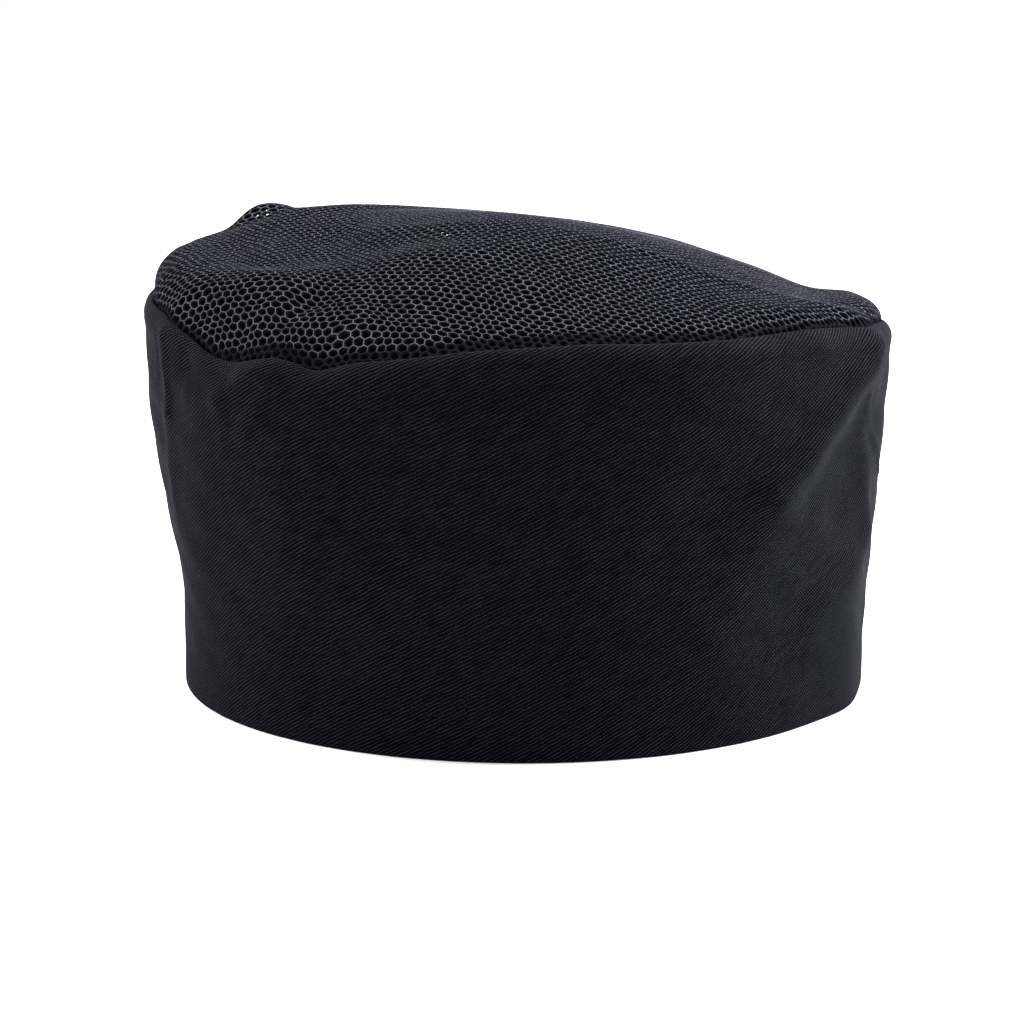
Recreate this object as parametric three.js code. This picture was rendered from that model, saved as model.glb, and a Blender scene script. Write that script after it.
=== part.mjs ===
// Flat-topped cook's cap: a folded twill band round the head, closed on top by a soft crown of open net.
// Millimetres, +Z up, the front towards -Y and the wearer's left hand towards +X.
// The origin lies under the middle of the cap's outline, in the plane of the rim.
// Angles round the cap are degrees from the middle of the front, growing towards +X.
import * as THREE from 'three';

// Driving dimensions
const STEPS_ROUND = 108;
const BAND_WALL = 1.8;
const NET_WALL = 1.0;
const SEAM_HEIGHT = 104.6;
const ROLL_HEIGHT = 5.5;
const ROLL_INSET = 2.4;
const SEAM_ALLOWANCE = 8.0;
const SEAM_CLEARANCE = 0.35;
const CROWN_TUCK_IN = 3.5;
const CROWN_SEAM_DROP = 1.2;
const CROWN_CENTRE_X = -35;
const PUFF_WIDTH = 8.5;
const PUFF_UNDERCUT = 25;

// The band's outer outline is an ellipse at each height, a little off centre as the cap leans
const BAND_SECTIONS = [
  { height: 0, halfWidth: 92.6, halfDepth: 96.6, centreX: 1.6 },
  { height: 15, halfWidth: 92.8, halfDepth: 96.7, centreX: 1.7 },
  { height: 30, halfWidth: 93.7, halfDepth: 97.2, centreX: 1.8 },
  { height: 45, halfWidth: 95.6, halfDepth: 98.6, centreX: 1.0 },
  { height: 60, halfWidth: 97.3, halfDepth: 100.2, centreX: 0.6 },
  { height: 75, halfWidth: 98.9, halfDepth: 101.6, centreX: 0.3 },
  { height: 90, halfWidth: 100.0, halfDepth: 102.4, centreX: 0.4 },
  { height: 108, halfWidth: 99.8, halfDepth: 102.0, centreX: -0.6 },
];
const FOLD_RADIUS = 100.2;

// Where the seam between band and crown dips below or rises above its usual height
const SEAM_WAVES = [
  { angle: -50, halfAngle: 12, rise: -8.2 },
  { angle: -31, halfAngle: 5, rise: -3.1 },
  { angle: -25, halfAngle: 16, rise: -4.6 },
  { angle: 11, halfAngle: 6, rise: 0.5 },
  { angle: 49, halfAngle: 9, rise: 0.7 },
  { angle: 108, halfAngle: 42, rise: -7.8 },
  { angle: 180, halfAngle: 45, rise: 2.5 },
  { angle: -140, halfAngle: 32, rise: 5.0 },
];

// Folds of the band, each along a line from its lower end to its upper end
const BAND_FOLDS = [
  { name: 'right crease', lowAngle: 70, low: 45, highAngle: 63, high: 100, halfWidth: 5, rise: 1.0 },
  { name: 'right drag ridge', lowAngle: 40, low: 64, highAngle: 64, high: 96, halfWidth: 6.5, rise: 2.2 },
  { name: 'right drag spread', lowAngle: 30, low: 32, highAngle: 40, high: 64, halfWidth: 12, rise: 1.6 },
  { name: 'right hollow', lowAngle: 58, low: 58, highAngle: 76, high: 84, halfWidth: 8, rise: -1.6 },
  { name: 'right low ridge', lowAngle: 53, low: 28, highAngle: 69, high: 45, halfWidth: 7, rise: 1.2 },
  { name: 'right rim corner', lowAngle: 65, low: 0, highAngle: 65, high: 30, halfWidth: 14, rise: 1.6 },
  { name: 'left crease', lowAngle: -69, low: 55, highAngle: -66, high: 100, halfWidth: 4, rise: 0.8 },
  { name: 'left dimple', lowAngle: -58, low: 94.5, highAngle: -48, high: 92.5, halfWidth: 6, rise: -2.2 },
  { name: 'left dimple lip', lowAngle: -49, low: 86.5, highAngle: -41, high: 95, halfWidth: 4.5, rise: 1.4 },
];

// Heights of the crown above the seam, from its middle (along 0) out to the end of the dome (along 1) and on
// over the puffed edge, in eight directions a turn of 45 degrees apart
const CROWN_DIRECTIONS = ['front', 'frontRight', 'right', 'backRight', 'back', 'backLeft', 'left', 'frontLeft'];
const CROWN_SECTIONS = [
  {
    along: 0.00,
    front: 18.3, frontRight: 18.3, right: 18.3, backRight: 18.3,
    back: 18.3, backLeft: 18.3, left: 18.3, frontLeft: 18.3,
  },
  {
    along: 0.25,
    front: 16.8, frontRight: 20.8, right: 21.2, backRight: 20.5,
    back: 19.2, backLeft: 17.1, left: 14.4, frontLeft: 14.2,
  },
  {
    along: 0.45,
    front: 17.1, frontRight: 18.7, right: 18.3, backRight: 17.6,
    back: 18.5, backLeft: 17.2, left: 13.9, frontLeft: 12.5,
  },
  {
    along: 0.60,
    front: 14.5, frontRight: 14.6, right: 14.5, backRight: 14.6,
    back: 16.6, backLeft: 17.3, left: 14.1, frontLeft: 11.9,
  },
  {
    along: 0.75,
    front: 10.5, frontRight: 9.9, right: 9.4, backRight: 12.2,
    back: 15.0, backLeft: 17.5, left: 12.9, frontLeft: 10.7,
  },
  {
    along: 0.86,
    front: 7.0, frontRight: 7.4, right: 6.4, backRight: 9.2,
    back: 12.5, backLeft: 14.6, left: 13.1, frontLeft: 10.0,
  },
  {
    along: 1.00,
    front: 2.6, frontRight: 5.2, right: 5.4, backRight: 4.9,
    back: 7.7, backLeft: 10.5, left: 12.6, frontLeft: 7.4,
  },
  {
    along: 1.14,
    front: -2.0, frontRight: 1.1, right: 3.5, backRight: 1.7,
    back: 2.8, backLeft: 8.7, left: 11.8, frontLeft: -0.4,
  },
];

// Folds of the crown, each along a line in plan
const CROWN_FOLDS = [
  { name: 'left bump', fromX: -72.4, fromY: 53.3, toX: -70.7, toY: 64.7, halfWidth: 8.8, rise: 5.4 },
  { name: 'left hollow', fromX: -79.5, fromY: 15.6, toX: -84.8, toY: -19.3, halfWidth: 12.6, rise: -1.1 },
  { name: 'front left valley', fromX: -65, fromY: -72, toX: -52, toY: -62, halfWidth: 4.2, rise: -2.2 },
  { name: 'front left puff', fromX: -76, fromY: -56, toX: -66, toY: -48, halfWidth: 13, rise: 4.1 },
  { name: 'right valley', fromX: 80, fromY: -30, toX: 80, toY: 40, halfWidth: 8.5, rise: -1.2 },
  { name: 'right puff', fromX: 96, fromY: -30, toX: 96, toY: 35, halfWidth: 7.8, rise: 2.3 },
];

const radians = THREE.MathUtils.degToRad;

// A named column of a table read at any place along another, on a smooth curve through its rows
function readSmooth(table, placeName, valueName, place) {
  const last = table.length - 1;
  let row = 0;
  while (row < last - 1 && place > table[row + 1][placeName]) {
    row += 1;
  }
  const slopeBetween = (a, b) =>
    (table[b][valueName] - table[a][valueName]) / (table[b][placeName] - table[a][placeName]);
  const span = table[row + 1][placeName] - table[row][placeName];
  const t = THREE.MathUtils.clamp((place - table[row][placeName]) / span, 0, 1);
  const startSlope = slopeBetween(Math.max(row - 1, 0), row + 1) * span;
  const endSlope = slopeBetween(row, Math.min(row + 2, last)) * span;
  const start = table[row][valueName];
  const end = table[row + 1][valueName];
  const rise = end - start;
  return start + t * startSlope + t * t * (3 * rise - 2 * startSlope - endSlope)
    + t * t * t * (startSlope + endSlope - 2 * rise);
}

function wrapDegrees(angle) {
  return THREE.MathUtils.euclideanModulo(angle + 180, 360) - 180;
}

function bell(distance, halfWidth) {
  return Math.exp(-((distance / halfWidth) ** 2));
}

// Distance of a point from a straight line with two ends, in the plane
function distanceToLine(x, y, startX, startY, endX, endY) {
  const alongX = endX - startX;
  const alongY = endY - startY;
  const share = ((x - startX) * alongX + (y - startY) * alongY) / (alongX ** 2 + alongY ** 2);
  const t = THREE.MathUtils.clamp(share, 0, 1);
  return Math.hypot(x - startX - t * alongX, y - startY - t * alongY);
}

function seamHeight(angle) {
  return SEAM_WAVES.reduce(
    (height, wave) => height + wave.rise * bell(wrapDegrees(angle - wave.angle), wave.halfAngle),
    SEAM_HEIGHT,
  );
}

// How far the band's folds push it outwards, measured on the cloth laid flat
function bandFoldRise(angle, height) {
  const arcPerDegree = radians(1) * FOLD_RADIUS;
  return BAND_FOLDS.reduce((total, fold) => {
    const distance = distanceToLine(
      wrapDegrees(angle) * arcPerDegree, height,
      fold.lowAngle * arcPerDegree, fold.low,
      fold.highAngle * arcPerDegree, fold.high,
    );
    return total + fold.rise * bell(distance, fold.halfWidth);
  }, 0);
}

// A point of the band, a distance inside its outer face
function bandPoint(angle, height, inset) {
  const halfWidth = readSmooth(BAND_SECTIONS, 'height', 'halfWidth', height);
  const halfDepth = readSmooth(BAND_SECTIONS, 'height', 'halfDepth', height);
  const centreX = readSmooth(BAND_SECTIONS, 'height', 'centreX', height);
  const turn = radians(angle);
  const outwards = bandFoldRise(angle, height) - inset;
  return new THREE.Vector3(
    centreX + (halfWidth + outwards) * Math.sin(turn),
    -(halfDepth + outwards) * Math.cos(turn),
    height,
  );
}

// The seam line on the crown's side, a little inside and below the band's rolled edge
function crownSeamPoint(angle) {
  return bandPoint(angle, seamHeight(angle) - CROWN_SEAM_DROP, CROWN_TUCK_IN);
}

// The crown's height above the seam plane, its eight section curves blended smoothly by direction
function crownRise(angle, along) {
  const count = CROWN_DIRECTIONS.length;
  const place = (THREE.MathUtils.euclideanModulo(angle, 360) * count) / 360;
  const first = Math.floor(place);
  const t = place - first;
  const weights = [
    (-t + 2 * t ** 2 - t ** 3) / 2,
    (2 - 5 * t ** 2 + 3 * t ** 3) / 2,
    (t + 4 * t ** 2 - 3 * t ** 3) / 2,
    (t ** 3 - t ** 2) / 2,
  ];
  return weights.reduce((rise, weight, turn) => {
    const direction = CROWN_DIRECTIONS[(first + turn - 1 + count) % count];
    return rise + weight * readSmooth(CROWN_SECTIONS, 'along', direction, along);
  }, 0);
}

function crownFoldRise(x, y) {
  return CROWN_FOLDS.reduce((total, fold) => {
    const distance = distanceToLine(x, y, fold.fromX, fold.fromY, fold.toX, fold.toY);
    return total + fold.rise * bell(distance, fold.halfWidth);
  }, 0);
}

// A point of the crown's upper face: along runs from 0 at its highest point to 1 at the end of the dome,
// then puff runs from 0 at the dome's end to 1 at the seam, round the puffed and undercut edge
function crownPoint(angle, along, puff, inset) {
  const seam = crownSeamPoint(angle);
  const undercut = radians(PUFF_UNDERCUT);
  const turn = THREE.MathUtils.lerp(Math.PI / 2, -undercut, puff);
  const profile = (Math.sin(turn) + Math.sin(undercut)) / (1 + Math.sin(undercut));
  const inwards = PUFF_WIDTH * (Math.cos(undercut) - Math.cos(turn));
  const fromCentre = new THREE.Vector2(seam.x - CROWN_CENTRE_X, seam.y);
  const reach = fromCentre.length();
  const domeReach = reach - PUFF_WIDTH * Math.cos(undercut);
  const radius = puff > 0 ? reach - inwards : domeReach * along;
  const skinInset = inset * Math.cos(turn);
  const x = CROWN_CENTRE_X + (fromCentre.x / reach) * (radius - skinInset);
  const y = (fromCentre.y / reach) * (radius - skinInset);
  const share = Math.min(radius / reach, 1);
  const base = THREE.MathUtils.lerp(SEAM_HEIGHT, seam.z, share ** 4);
  const folds = crownFoldRise(x, y) * profile;
  const height = base + crownRise(angle, radius / domeReach) * profile + folds;
  return new THREE.Vector3(x, y, height - inset * Math.sin(turn));
}

// One ring of points round the cap
function ring(pointAt) {
  return Array.from({ length: STEPS_ROUND }, (_, step) => pointAt((step * 360) / STEPS_ROUND - 180));
}

// A closed skin of triangles over rings that run down the outside and up the inside; without poles it closes
// on its first ring
function closedSkin(rings, topPole, innerPole) {
  const positions = rings.flat().flatMap((point) => point.toArray());
  const index = [];
  const at = (row, column) => row * STEPS_ROUND + (column % STEPS_ROUND);
  const rows = topPole ? rings.length - 1 : rings.length;
  for (let row = 0; row < rows; row += 1) {
    const next = (row + 1) % rings.length;
    for (let column = 0; column < STEPS_ROUND; column += 1) {
      index.push(at(next, column), at(next, column + 1), at(row, column + 1));
      index.push(at(next, column), at(row, column + 1), at(row, column));
    }
  }
  if (topPole) {
    const top = positions.length / 3;
    positions.push(...topPole.toArray(), ...innerPole.toArray());
    const lastRow = rings.length - 1;
    for (let column = 0; column < STEPS_ROUND; column += 1) {
      index.push(top, at(0, column), at(0, column + 1));
      index.push(top + 1, at(lastRow, column + 1), at(lastRow, column));
    }
  }
  const geometry = new THREE.BufferGeometry();
  geometry.setAttribute('position', new THREE.Float32BufferAttribute(positions, 3));
  geometry.setIndex(index);
  geometry.computeVertexNormals();
  return geometry;
}

// Twill band: down the outer face from the seam, across the rim, up the inner face
function makeBand() {
  const OUTER_LEVELS = 12;
  const INNER_LEVELS = 7;
  const CLOSER_TOWARDS_SEAM = 1.7;
  const ROLL_LEVELS = 3;
  const rings = [];
  for (let level = 0; level < ROLL_LEVELS; level += 1) {
    const turn = (Math.PI / 2) * (1 - level / ROLL_LEVELS);
    rings.push(ring((angle) => {
      const height = seamHeight(angle) - ROLL_HEIGHT * (1 - Math.sin(turn));
      return bandPoint(angle, height, ROLL_INSET * (1 - Math.cos(turn)));
    }));
  }
  for (let level = OUTER_LEVELS; level >= 0; level -= 1) {
    const share = level / OUTER_LEVELS;
    rings.push(ring((angle) => bandPoint(angle, (seamHeight(angle) - ROLL_HEIGHT) * share, 0)));
  }
  for (let level = 0; level <= INNER_LEVELS; level += 1) {
    const share = 1 - (1 - level / INNER_LEVELS) ** CLOSER_TOWARDS_SEAM;
    rings.push(ring((angle) => bandPoint(angle, (seamHeight(angle) - ROLL_HEIGHT) * share, BAND_WALL)));
  }
  rings.push(ring((angle) => bandPoint(angle, seamHeight(angle) - BAND_WALL, ROLL_INSET)));
  return closedSkin(rings);
}

// Net crown: from its highest point down over the puffed edge, down the seam allowance and back inside
function makeCrown() {
  const DOME_LEVELS = 10;
  const INNER_DOME_LEVELS = 8;
  const PUFF_LEVELS = 4;
  const rings = [];
  for (let level = 1; level <= DOME_LEVELS; level += 1) {
    rings.push(ring((angle) => crownPoint(angle, level / DOME_LEVELS, 0, 0)));
  }
  for (let level = 1; level <= PUFF_LEVELS; level += 1) {
    rings.push(ring((angle) => crownPoint(angle, 1, level / PUFF_LEVELS, 0)));
  }
  const footInset = BAND_WALL + SEAM_CLEARANCE;
  const innerInset = CROWN_TUCK_IN + NET_WALL;
  rings.push(ring((angle) => bandPoint(angle, seamHeight(angle) - SEAM_ALLOWANCE, footInset)));
  rings.push(ring((angle) => bandPoint(angle, seamHeight(angle) - SEAM_ALLOWANCE, footInset + NET_WALL)));
  rings.push(ring((angle) => bandPoint(angle, seamHeight(angle) - CROWN_SEAM_DROP, innerInset)));
  for (let level = PUFF_LEVELS - 1; level >= 1; level -= 1) {
    rings.push(ring((angle) => crownPoint(angle, 1, level / PUFF_LEVELS, NET_WALL)));
  }
  for (let level = INNER_DOME_LEVELS; level >= 1; level -= 1) {
    rings.push(ring((angle) => crownPoint(angle, level / INNER_DOME_LEVELS, 0, NET_WALL)));
  }
  return closedSkin(rings, crownPoint(0, 0, 0, 0), crownPoint(0, 0, 0, NET_WALL));
}

const twill = new THREE.MeshStandardMaterial({ color: 0x17171f, roughness: 0.85, metalness: 0 });
const net = new THREE.MeshStandardMaterial({ color: 0x1e1e27, roughness: 0.8, metalness: 0 });

const cap = new THREE.Group();

const band = new THREE.Mesh(makeBand(), twill);
band.name = 'twill_band';
cap.add(band);

const crown = new THREE.Mesh(makeCrown(), net);
crown.name = 'mesh_crown';
cap.add(crown);

export default cap;
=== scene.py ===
"""Cook's flat-topped cap: a tall band of near-black twill, closed on top by a soft crown of open net.

Metres, +Z up, the front towards -Y. Angles round the cap are degrees from the middle of the front, growing
towards +X. The tables and functions of the shape are the ones that the solids were made from.
"""
import math

import bpy
import numpy as np
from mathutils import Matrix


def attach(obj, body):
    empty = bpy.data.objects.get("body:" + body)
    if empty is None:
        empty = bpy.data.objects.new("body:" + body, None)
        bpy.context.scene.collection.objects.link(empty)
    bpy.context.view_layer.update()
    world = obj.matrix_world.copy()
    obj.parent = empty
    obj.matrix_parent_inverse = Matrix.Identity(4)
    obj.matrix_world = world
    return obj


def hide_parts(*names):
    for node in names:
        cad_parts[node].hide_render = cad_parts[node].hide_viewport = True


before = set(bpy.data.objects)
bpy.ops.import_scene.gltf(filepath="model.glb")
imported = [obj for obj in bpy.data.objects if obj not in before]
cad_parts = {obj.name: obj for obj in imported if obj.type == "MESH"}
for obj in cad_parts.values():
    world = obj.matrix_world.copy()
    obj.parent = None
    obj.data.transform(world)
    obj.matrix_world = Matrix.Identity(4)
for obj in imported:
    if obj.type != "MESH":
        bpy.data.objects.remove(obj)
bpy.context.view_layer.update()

bl_info = {
    "name": "Net-topped cook's cap",
    "version": (1, 0, 0),
    "blender": (4, 5, 0),
    "location": "3D View > Sidebar > Cap",
    "description": "A twill band and a soft crown of open net, with the stage they stand on",
    "category": "Object",
}

BODY = "root"

# Driving dimensions of the shape, the same as in the solids
CROWN_TUCK_IN = 0.0035
CROWN_SEAM_DROP = 0.0012
CROWN_CENTRE_X = -0.035
PUFF_WIDTH = 0.0085
PUFF_UNDERCUT = math.radians(25)


def table(columns, rows):
    """A short table as one array for each named column."""
    return {name: np.array(values) for name, values in zip(columns.split(), zip(*rows))}


# The band's outer outline is an ellipse at each height, a little off centre as the cap leans
BAND_SECTIONS = table("height half_width half_depth centre_x", [
    (0.000, 0.0926, 0.0966, 0.0016),
    (0.015, 0.0928, 0.0967, 0.0017),
    (0.030, 0.0937, 0.0972, 0.0018),
    (0.045, 0.0956, 0.0986, 0.0010),
    (0.060, 0.0973, 0.1002, 0.0006),
    (0.075, 0.0989, 0.1016, 0.0003),
    (0.090, 0.1000, 0.1024, 0.0004),
    (0.108, 0.0998, 0.1020, -0.0006),
])
FOLD_RADIUS = 0.1002

# Where the seam between band and crown dips below or rises above its usual height
SEAM_WAVES = table("angle half_angle rise", [
    (-50, 12, -0.0082),
    (-31, 5, -0.0031),
    (-25, 16, -0.0046),
    (11, 6, 0.0005),
    (49, 9, 0.0007),
    (108, 42, -0.0078),
    (180, 45, 0.0025),
    (-140, 32, 0.0050),
])

# Folds of the band, each along a line from its lower end to its upper end
BAND_FOLDS = table("name low_angle low high_angle high half_width rise", [
    ("right crease", 70, 0.045, 63, 0.100, 0.0050, 0.0010),
    ("right drag ridge", 40, 0.064, 64, 0.096, 0.0065, 0.0022),
    ("right drag spread", 30, 0.032, 40, 0.064, 0.0120, 0.0016),
    ("right hollow", 58, 0.058, 76, 0.084, 0.0080, -0.0016),
    ("right low ridge", 53, 0.028, 69, 0.045, 0.0070, 0.0012),
    ("right rim corner", 65, 0.000, 65, 0.030, 0.0140, 0.0016),
    ("left crease", -69, 0.055, -66, 0.100, 0.0040, 0.0008),
    ("left dimple", -58, 0.0945, -48, 0.0925, 0.0060, -0.0022),
    ("left dimple lip", -49, 0.0865, -41, 0.0950, 0.0045, 0.0014),
])
# Finer folds than the solids hold, in the same columns
FINE_FOLDS = table("name low_angle low high_angle high half_width rise", [
    ("right ridge crest", 47, 0.0725, 66, 0.0975, 0.0062, 0.0010),
    ("right ridge shade", 49, 0.060, 68, 0.083, 0.0055, -0.0010),
    ("right crease edge", 78, 0.060, 64, 0.084, 0.0012, 0.0006),
    ("left crease edge", -66.5, 0.078, -65.5, 0.101, 0.0011, 0.0006),
    ("left outer edge", -72, 0.088, -70, 0.100, 0.0011, 0.0004),
    ("left dimple foot", -58, 0.0870, -49, 0.0870, 0.0035, 0.0011),
    ("left pull", -44, 0.080, -38, 0.093, 0.0030, 0.0008),
])
# The doubled edge makes a soft bead a little below the seam
SEAM_BEAD_DROP = 0.0035
SEAM_BEAD_HALF_WIDTH = 0.0032
SEAM_BEAD_RISE = 0.0007

# Heights of the crown above the seam, from its middle (along 0) out to the end of the dome (along 1) and on
# over the puffed edge, in eight directions a turn of 45 degrees apart
CROWN_DIRECTIONS = "front front_right right back_right back back_left left front_left".split()
CROWN_SECTIONS = table("along front front_right right back_right back back_left left front_left", [
    (0.00, 0.0183, 0.0183, 0.0183, 0.0183, 0.0183, 0.0183, 0.0183, 0.0183),
    (0.25, 0.0168, 0.0208, 0.0212, 0.0205, 0.0192, 0.0171, 0.0144, 0.0142),
    (0.45, 0.0171, 0.0187, 0.0183, 0.0176, 0.0185, 0.0172, 0.0139, 0.0125),
    (0.60, 0.0145, 0.0146, 0.0145, 0.0146, 0.0166, 0.0173, 0.0141, 0.0119),
    (0.75, 0.0105, 0.0099, 0.0094, 0.0122, 0.0150, 0.0175, 0.0129, 0.0107),
    (0.86, 0.0070, 0.0074, 0.0064, 0.0092, 0.0125, 0.0146, 0.0131, 0.0100),
    (1.00, 0.0026, 0.0052, 0.0054, 0.0049, 0.0077, 0.0105, 0.0126, 0.0074),
    (1.14, -0.0020, 0.0011, 0.0035, 0.0017, 0.0028, 0.0087, 0.0118, -0.0004),
])

# Folds of the crown, each along a line in plan
CROWN_FOLDS = table("name from_x from_y to_x to_y half_width rise", [
    ("left bump", -0.0724, 0.0533, -0.0707, 0.0647, 0.0088, 0.0054),
    ("left hollow", -0.0795, 0.0156, -0.0848, -0.0193, 0.0126, -0.0011),
    ("front left valley", -0.0650, -0.0720, -0.0520, -0.0620, 0.0042, -0.0022),
    ("front left puff", -0.0760, -0.0560, -0.0660, -0.0480, 0.0130, 0.0041),
    ("right valley", 0.0800, -0.0300, 0.0800, 0.0400, 0.0085, -0.0012),
    ("right puff", 0.0960, -0.0300, 0.0960, 0.0350, 0.0078, 0.0023),
])

# Soft waves of the twill: how many go round the cap, their lean and their height
CLOTH_WAVES = table("count lean_degrees rise", [
    (9, 40, 0.00030),
    (14, -25, 0.00022),
    (23, 60, 0.00014),
])
# How far above the rim, where the cloth is still, the waves have their whole height
WAVES_GROWN = 0.02
# Puckers that the seam pulls into the band and the net: how many go round, and their height
SEAM_PUCKERS = table("count rise", [
    (41, 0.00005),
    (58, 0.00004),
    (91, 0.00003),
])
# How far the puckers reach down from the seam
PUCKER_REACH = 0.011
# Slope of the band's grain where its cloth is pulled up at both sides, and where it comes down again behind
GRAIN_PULL = table("angle half_angle slope", [
    (62, 34, 0.190),
    (-60, 22, 0.130),
    (180, 60, -0.1553),
])
# How far the painted highlight on the band's top edge reaches down, and how much paler it paints the edge
EDGE_HIGHLIGHT_REACH = 0.0032
EDGE_HIGHLIGHT = 1.3

# The twill's yarn: the length of a float in wales, how far each rib's floats start beyond the last one's, how
# deep a rib dips between its floats, how narrow its crest is, how drawn out its yarns are, and its relief
FLOAT_LENGTH = 0.80
FLOAT_STEP = 0.37
FLOAT_DIP = 0.7
RIB_SHARPNESS = 2.4
YARN_STRETCH = 0.12
TWILL_RELIEF = 0.00048

# Up to what height over its seam the net is painted dark, a painted shade for the groove behind the band, and
# how softly that painted shade ends
PAINTED_SHADE_TOP = 0.0030
PAINTED_SHADE_FADE = 0.0009
# On the left of the front the net bulges over the band, and the painted shade of the groove reaches higher
# there
PAINTED_SHADE_DEEPER = table("angle half_angle rise", [
    (-40, 16, 0.0016),
])
# How much of its colour the yarn loses to the painted shade in the groove
PAINTED_SHADE_DARKENING = 0.93
# Where on a strand the painted highlight of its crest begins, from 0 at the lip of a hole to 1 on the crest,
# with painted shade below it, and its relief
NET_HIGHLIGHT_START = 0.76
NET_RELIEF = 0.00015
# Scales of the noise that makes the yarn stray and whole patches of the net drift
UNEVENNESS_SCALE = 330.0
DRIFT_SCALE = 70.0
# Width of the lattice that the quarters are cut from, more than the crown's flat layout
LATTICE_WIDTH = 0.26
# Points of the net this near each other are joined, and edges turned further than this stay sharp
MERGE_DISTANCE = 0.00002
SHARP_TURN = math.radians(70)

# The camera's sensor in millimetres, and the height that the lights aim at
SENSOR_WIDTH = 36.0
LIGHT_AIM_HEIGHT = 0.08


def length_property(name, description, default):
    return bpy.props.FloatProperty(
        name=name, description=description, default=default, min=0.0, precision=5,
        subtype="DISTANCE", unit="LENGTH",
    )


def colour_property(name, description, default):
    return bpy.props.FloatVectorProperty(
        name=name, description=description, default=default, size=4, min=0.0, max=1.0, subtype="COLOR",
    )


class BandSettings(bpy.types.PropertyGroup):
    """Sizes and colours of the twill band."""

    wall: length_property("Wall", "Thickness of the two plies of twill together", 0.0018)
    seam_height: length_property("Seam height", "Usual height of the crown seam above the rim", 0.1046)
    roll_height: length_property("Roll height", "Height over which the top edge rolls in to the seam", 0.0055)
    roll_inset: length_property("Roll inset", "How far the top edge rolls in", 0.0024)
    wale_pitch: length_property("Wale pitch", "Distance from one rib of the twill to the next", 0.00086)
    wale_angle: bpy.props.FloatProperty(
        name="Wale angle", description="Slope of the ribs, rising to the right", default=math.radians(27),
        subtype="ANGLE", unit="ROTATION",
    )
    rib_colour: colour_property("Rib colour", "Colour of the yarn on the ribs", (0.0340, 0.0346, 0.0465, 1))
    groove_colour: colour_property("Groove colour", "Colour between the ribs", (0.0006, 0.0006, 0.0014, 1))


class CrownSettings(bpy.types.PropertyGroup):
    """Sizes and colours of the net crown."""

    allowance: length_property("Seam allowance", "How far the net is tucked down inside the band", 0.0080)
    yarn_depth: length_property("Yarn depth", "Thickness of the net", 0.00080)
    hole_pitch: length_property("Hole pitch", "Distance between neighbouring holes in a row", 0.00265)
    row_spacing: length_property("Row spacing", "Distance from one row of holes to the next", 0.00230)
    hole_width: length_property("Hole width", "Width of a hole", 0.00162)
    row_turn: bpy.props.FloatProperty(
        name="Row turn", description="Turn of the rows of holes, clockwise from above",
        default=math.radians(5), subtype="ANGLE", unit="ROTATION",
    )
    skew: bpy.props.FloatProperty(
        name="Skew", description="How far the rows are pulled to the front for each metre to the right",
        default=0.30,
    )
    unevenness: length_property("Unevenness", "How far the yarn strays from an even net", 0.0011)
    drift: length_property("Drift", "How far whole patches of the net are pulled out of line", 0.0045)
    # The crest colour is the yarn's colour with a painted highlight on its crests; the painted shade colour
    # is painted shade down the strands' sides
    crest_highlight_colour: colour_property("Yarn colour", "Colour of the net's yarn", (0.0850, 0.0865, 0.1090, 1))
    painted_shade_colour: colour_property("Shade colour", "Colour deep between yarns", (0.0040, 0.0040, 0.0060, 1))


class StageSettings(bpy.types.PropertyGroup):
    """The camera, the floor and the lights."""

    camera_x: bpy.props.FloatProperty(
        name="Camera across", description="Place of the camera, left to right", default=-0.00155,
        subtype="DISTANCE", unit="LENGTH",
    )
    camera_distance: length_property("Camera distance", "From the cap's middle to the camera", 0.900)
    camera_height: length_property("Camera height", "Height of the camera above the floor", 0.22128)
    camera_tilt: bpy.props.FloatProperty(
        name="Camera tilt", description="How far the camera looks down", default=math.radians(11.105),
        subtype="ANGLE", unit="ROTATION",
    )
    lens: bpy.props.FloatProperty(
        name="Lens", description="Focal length on a 36 mm sensor", default=118.0, subtype="DISTANCE_CAMERA",
    )
    floor_size: length_property("Floor size", "Width of the square floor", 30.0)
    floor_colour: colour_property("Floor colour", "Colour of the floor", (0.95, 0.95, 0.95, 1))
    surround: bpy.props.FloatProperty(
        name="Surround light", description="Strength of the even light from all round", default=1.06, min=0.0,
    )
    left_power: bpy.props.FloatProperty(
        name="Left light", description="Power of the light on the left", default=17.0, min=0.0,
        subtype="POWER", unit="POWER",
    )
    right_power: bpy.props.FloatProperty(
        name="Right light", description="Power of the light on the right", default=44.0, min=0.0,
        subtype="POWER", unit="POWER",
    )
    top_power: bpy.props.FloatProperty(
        name="Top light", description="Power of the light over the crown", default=12.0, min=0.0,
        subtype="POWER", unit="POWER",
    )


# Shape of the band and the crown

def read_smooth(rows, place_name, value_name, place):
    """A named column of a table read at any places along another, on a smooth curve through its rows."""
    places, values = rows[place_name], rows[value_name]
    after = np.minimum(np.arange(len(places)) + 1, len(places) - 1)
    before = np.maximum(np.arange(len(places)) - 1, 0)
    slopes = (values[after] - values[before]) / (places[after] - places[before])
    row = np.clip(np.searchsorted(places, place) - 1, 0, len(places) - 2)
    span = places[row + 1] - places[row]
    t = np.clip((place - places[row]) / span, 0, 1)
    start_slope, end_slope = slopes[row] * span, slopes[row + 1] * span
    rise = values[row + 1] - values[row]
    return (values[row] + t * start_slope + t ** 2 * (3 * rise - 2 * start_slope - end_slope)
            + t ** 3 * (start_slope + end_slope - 2 * rise))


def wrap_degrees(angle):
    return np.mod(np.asarray(angle) + 180, 360) - 180


def bell(distance, half_width):
    return np.exp(-((distance / half_width) ** 2))


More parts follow.
